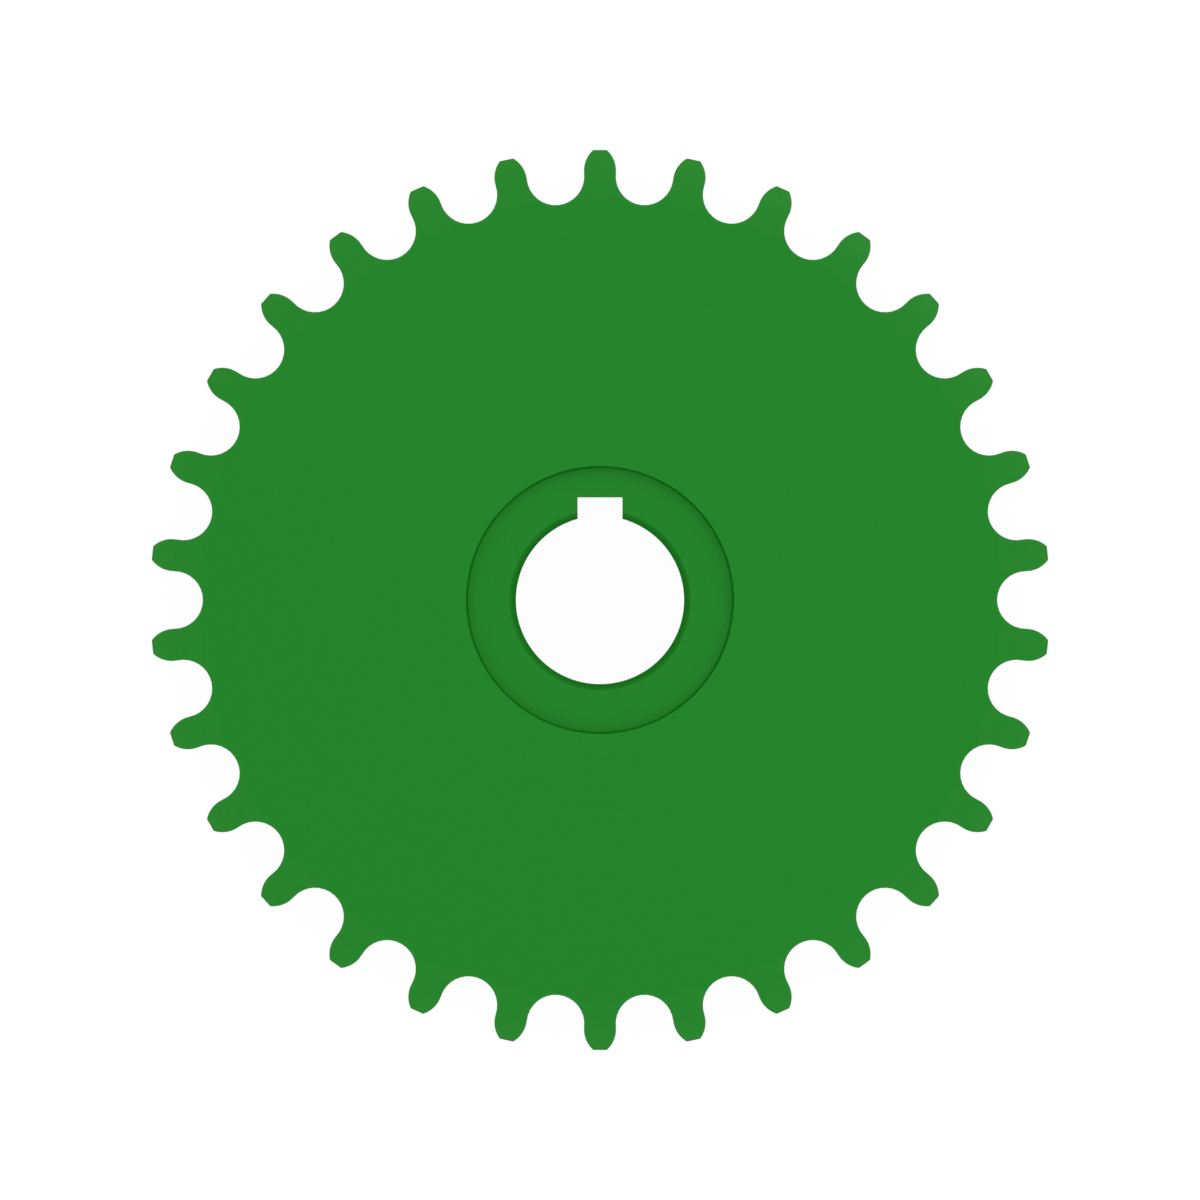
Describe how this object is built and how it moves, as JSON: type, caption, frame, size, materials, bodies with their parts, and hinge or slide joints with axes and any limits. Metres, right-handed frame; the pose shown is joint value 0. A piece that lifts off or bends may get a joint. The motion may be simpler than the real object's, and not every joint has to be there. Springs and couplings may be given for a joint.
{
  "type": "chain sprocket",
  "caption": "Flat toothed wheel for a single roller chain, with a keyed bore, a shallow round recess in its front face and a hub behind.",
  "frame": {"origin": "on the bore's axis, at the end face of the hub, which the part lies on", "axes": "+Z along the bore, from the hub to the recessed front face; +Y through the keyway"},
  "size_m": [0.16, 0.1606, 0.028],
  "materials": {
    "enamel": "satin"
  },
  "bodies": {
    "root": {"sprocket": "enamel"}
  },
  "joints": []
}
